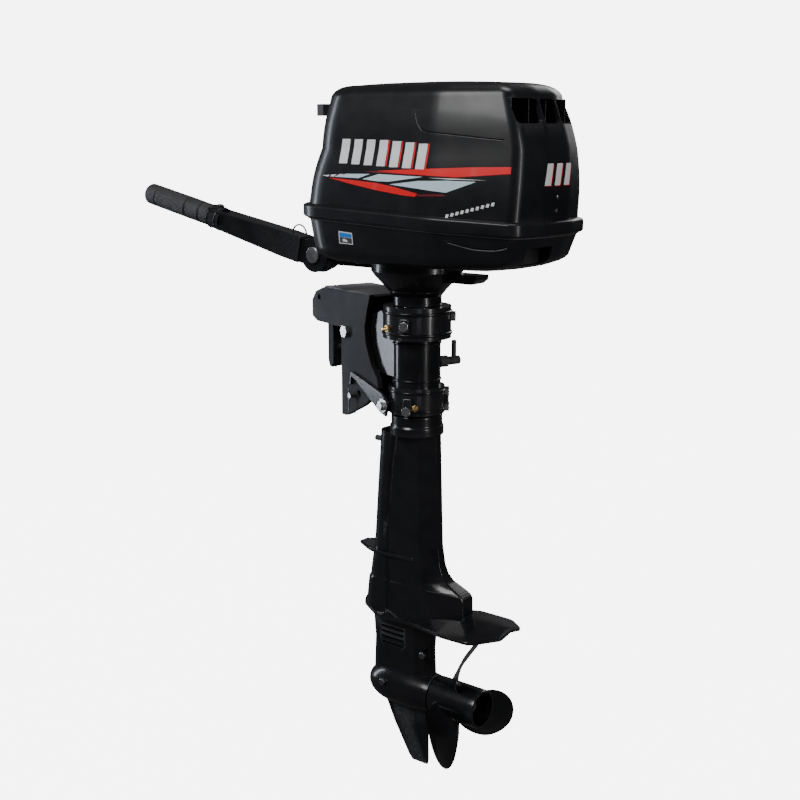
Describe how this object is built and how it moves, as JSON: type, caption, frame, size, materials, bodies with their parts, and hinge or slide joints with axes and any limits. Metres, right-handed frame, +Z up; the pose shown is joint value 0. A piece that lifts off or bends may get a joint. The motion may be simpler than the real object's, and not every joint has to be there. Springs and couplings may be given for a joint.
{
  "type": "outboard motor",
  "caption": "Short-shaft portable outboard motor with tiller steering, recoil starter under a lift-off cowl, transom clamp bracket and three-blade propeller.",
  "frame": {"origin": "middle of the clamp bracket's transom seat, on the plane of the transom's aft face", "axes": "+X aft, away from the boat; +Y to starboard; +Z up"},
  "size_m": [0.6853, 0.3565, 0.955],
  "materials": {
    "cowl_plastic": "gloss",
    "grey_casting": "gloss",
    "bracket_casting": "semi-gloss",
    "propeller_paint": "black paint",
    "steel": "satin",
    "brass": "satin",
    "bare_aluminium": "cast",
    "black_plastic": "matt",
    "red_plastic": "matt",
    "tank_plastic": "matt",
    "ceramic_white": "glazed",
    "rubber": "matt"
  },
  "bodies": {
    "clamp": {"clamp_bracket": "bracket_casting", "tilt_pivot_bolt": "steel", "tilt_angle_pin": "steel"},
    "clamp_pad": {"clamp_pad": "steel"},
    "clamp_screw": {"clamp_screw": "steel"},
    "swivel": {"swivel_bracket": "bracket_casting", "steering_bushes": "black_plastic", "ring_bolts": "steel", "grease_nipples": "brass", "lock_pivot_bolt": "steel"},
    "reverse_lock": {"reverse_lock_hook": "steel"},
    "friction_lever": {"friction_lever": "black_plastic"},
    "motor": {"steering_tube": "steel", "lower_yoke": "grey_casting", "engine_bracket": "grey_casting", "leg_housing": "grey_casting", "water_tube": "brass", "telltale_nozzle": "black_plastic", "pump_housing": "black_plastic", "gearcase": "grey_casting", "gearcase_bolts": "steel", "bearing_carrier": "bare_aluminium", "shaft_bearings": "steel", "lower_pan": "cowl_plastic", "cowl_seal": "rubber", "crankcase": "bare_aluminium", "cylinder": "bare_aluminium", "piston": "bare_aluminium", "cylinder_head": "bare_aluminium", "rocker_cover": "bare_aluminium", "spark_plug": "ceramic_white", "carburettor": "bare_aluminium", "muffler": "steel", "fuel_tank": "tank_plastic", "tank_cap": "black_plastic", "ignition_coil": "black_plastic", "tiller_bracket": "bracket_casting", "tiller_pivot_bolt": "steel"},
    "drive": {"drive_shaft": "steel", "pinion_gear": "steel", "pump_impeller": "rubber", "clutch_drum": "steel"},
    "propeller": {"propeller": "propeller_paint", "propeller_shaft": "steel", "bevel_gear": "steel", "castle_nut": "steel"},
    "crank": {"crankshaft": "steel", "flywheel": "steel", "clutch_shoes": "steel"},
    "tiller": {"tiller_arm": "bracket_casting", "arm_wire_loop": "steel"},
    "grip": {"twist_grip": "rubber"},
    "latch": {"cowl_latch": "steel"},
    "stop": {"stop_button": "red_plastic"},
    "choke": {"choke_knob": "black_plastic"},
    "fuel_tap": {"fuel_tap_lever": "black_plastic"},
    "cowl": {"top_cowl": "cowl_plastic", "starter_cover": "black_plastic"},
    "starter_pulley": {"starter_pulley": "black_plastic"},
    "starter_handle": {"starter_handle": "black_plastic"}
  },
  "joints": [
    {"name": "pad_travel", "type": "slide", "parent": "clamp", "child": "clamp_pad", "axis": [1, 0, 0], "range_m": [-0.04, 0]},
    {"name": "screw_turn", "type": "hinge", "parent": "clamp_pad", "child": "clamp_screw", "pos_m": [-0.06, 0, -0.042], "axis": [1, 0, 0], "range_deg": [-4802, 0]},
    {"name": "tilt", "type": "hinge", "parent": "clamp", "child": "swivel", "pos_m": [0.016, 0, -0.004], "axis": [0, -1, 0], "range_deg": [0, 45]},
    {"name": "reverse_lock_swing", "type": "hinge", "parent": "swivel", "child": "reverse_lock", "pos_m": [0.126, -0.043, -0.091], "axis": [0, 1, 0], "range_deg": [-14, 20]},
    {"name": "friction_turn", "type": "hinge", "parent": "swivel", "child": "friction_lever", "pos_m": [0.14, 0.05, -0.036], "axis": [0, 1, 0], "range_deg": [-60, 60]},
    {"name": "steering", "type": "hinge", "parent": "swivel", "child": "motor", "pos_m": [0.14, 0, 0], "axis": [0, 0, 1], "range_deg": [-80, 40]},
    {"name": "drive_spin", "type": "hinge", "parent": "motor", "child": "drive", "pos_m": [0.14, 0, -0.2], "axis": [0, 0, 1], "continuous": true},
    {"name": "propeller_spin", "type": "hinge", "parent": "motor", "child": "propeller", "pos_m": [0.14, 0, -0.507], "axis": [0.9397, 0.342, 0], "continuous": true},
    {"name": "crank_spin", "type": "hinge", "parent": "motor", "child": "crank", "pos_m": [0.14, 0, 0.2], "axis": [0, 0, 1], "continuous": true},
    {"name": "tiller_fold", "type": "hinge", "parent": "motor", "child": "tiller", "pos_m": [0.00999, -0.08137, 0.106], "axis": [-0.342, 0.9397, 0], "range_deg": [0, 60]},
    {"name": "throttle_twist", "type": "hinge", "parent": "tiller", "child": "grip", "pos_m": [0.00862, -0.07761, 0.106], "axis": [-0.9192, -0.3345, 0.2079], "range_deg": [0, 90]},
    {"name": "latch_swing", "type": "hinge", "parent": "motor", "child": "latch", "pos_m": [0.32547, 0.04303, 0.132], "axis": [0.342, -0.9397, 0], "range_deg": [0, 60]},
    {"name": "stop_press", "type": "slide", "parent": "motor", "child": "stop", "axis": [0.9397, 0.342, 0], "range_m": [0, 0.003], "stiffness_N_per_m": 400, "springref_m": -0.002},
    {"name": "choke_pull", "type": "slide", "parent": "motor", "child": "choke", "axis": [-0.9397, -0.342, 0], "range_m": [0, 0.02]},
    {"name": "fuel_tap_turn", "type": "hinge", "parent": "motor", "child": "fuel_tap", "pos_m": [-0.00592, -0.00842, 0.136], "axis": [0.9397, 0.342, 0], "range_deg": [0, 90]},
    {"name": "cowl_lift", "type": "slide", "parent": "motor", "child": "cowl", "axis": [0, 0, 1], "range_m": [0, 0.2]},
    {"name": "starter_turn", "type": "hinge", "parent": "cowl", "child": "starter_pulley", "pos_m": [0.14, 0, 0.302], "axis": [0, 0, -1], "range_deg": [0, 320], "stiffness_Nm_per_rad": 0.3, "springref_deg": -57.3},
    {"name": "starter_pull", "type": "slide", "parent": "cowl", "child": "starter_handle", "axis": [-0.9992, -0.0401, 0], "range_m": [0, 0.1905]}
  ],
  "couplings": [
    {"joint": "screw_turn", "follows": "pad_travel", "rad_per_m": 2094.4},
    {"joint": "propeller_spin", "follows": "drive_spin", "ratio": 0.47368},
    {"joint": "starter_pull", "follows": "starter_turn", "m_per_rad": 0.034}
  ]
}
